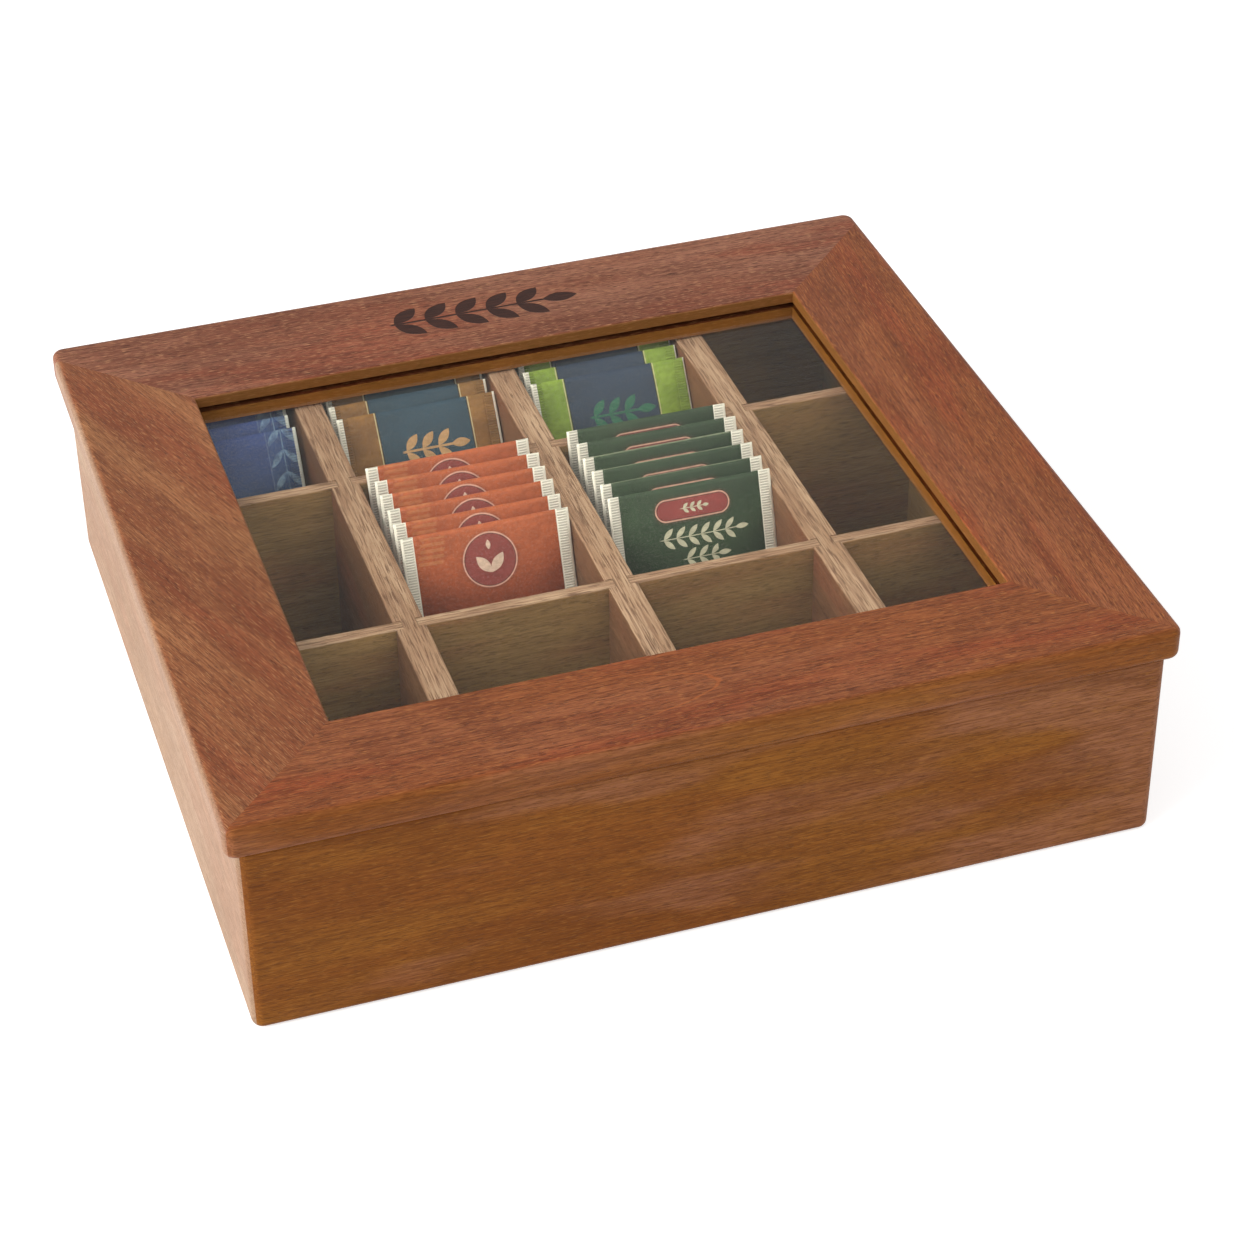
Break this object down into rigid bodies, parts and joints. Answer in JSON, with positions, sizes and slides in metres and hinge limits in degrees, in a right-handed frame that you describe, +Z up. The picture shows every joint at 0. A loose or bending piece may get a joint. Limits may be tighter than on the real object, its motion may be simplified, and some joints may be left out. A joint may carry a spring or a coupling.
{
  "type": "tea bag organizer box",
  "caption": "Low wooden chest with a grid of open compartments, some holding leaning stacks of tea sachets, under a mitred lid frame with a clear window, hinged at the back.",
  "frame": {"origin": "under the middle of the closed lid, level with the foot of the case", "axes": "+X to the right along the long side, +Y from the front to the hinges at the back, +Z up"},
  "size_m": [0.335, 0.3124, 0.0884],
  "materials": {
    "case_wood": "satin",
    "lid_wood": "satin",
    "divider_wood": "matte",
    "panel_wood": "matte",
    "brass": "brushed",
    "window": "gloss",
    "blue_paper": "matte",
    "tan_paper": "matte",
    "lime_paper": "matte",
    "orange_paper": "matte",
    "green_paper": "matte"
  },
  "bodies": {
    "case": {"front_wall": "case_wood", "back_wall": "case_wood", "left_wall": "case_wood", "right_wall": "case_wood", "bottom_panel": "panel_wood", "long_divider_left": "divider_wood", "long_divider_middle": "divider_wood", "long_divider_right": "divider_wood", "cross_divider_1_front": "divider_wood", "cross_divider_1_back": "divider_wood", "cross_divider_2_front": "divider_wood", "cross_divider_2_back": "divider_wood", "cross_divider_3_front": "divider_wood", "cross_divider_3_back": "divider_wood", "cross_divider_4_front": "divider_wood", "cross_divider_4_back": "divider_wood", "left_hinge_case_leaf": "brass", "right_hinge_case_leaf": "brass", "left_hinge_pin": "brass", "right_hinge_pin": "brass", "case_leaf_screws": "brass", "blue_sachets": "blue_paper", "tan_sachets": "tan_paper", "lime_sachets": "lime_paper", "orange_sachets": "orange_paper", "green_sachets": "green_paper"},
    "lid": {"lid_front_rail": "lid_wood", "lid_back_rail": "lid_wood", "lid_left_stile": "lid_wood", "lid_right_stile": "lid_wood", "window_pane": "window", "left_hinge_lid_leaf": "brass", "right_hinge_lid_leaf": "brass", "lid_leaf_screws": "brass"}
  },
  "joints": [
    {"name": "lid_hinge", "type": "hinge", "parent": "case", "child": "lid", "pos_m": [0, 0.15345, 0.07565], "axis": [-1, 0, 0], "range_deg": [0, 100]}
  ]
}
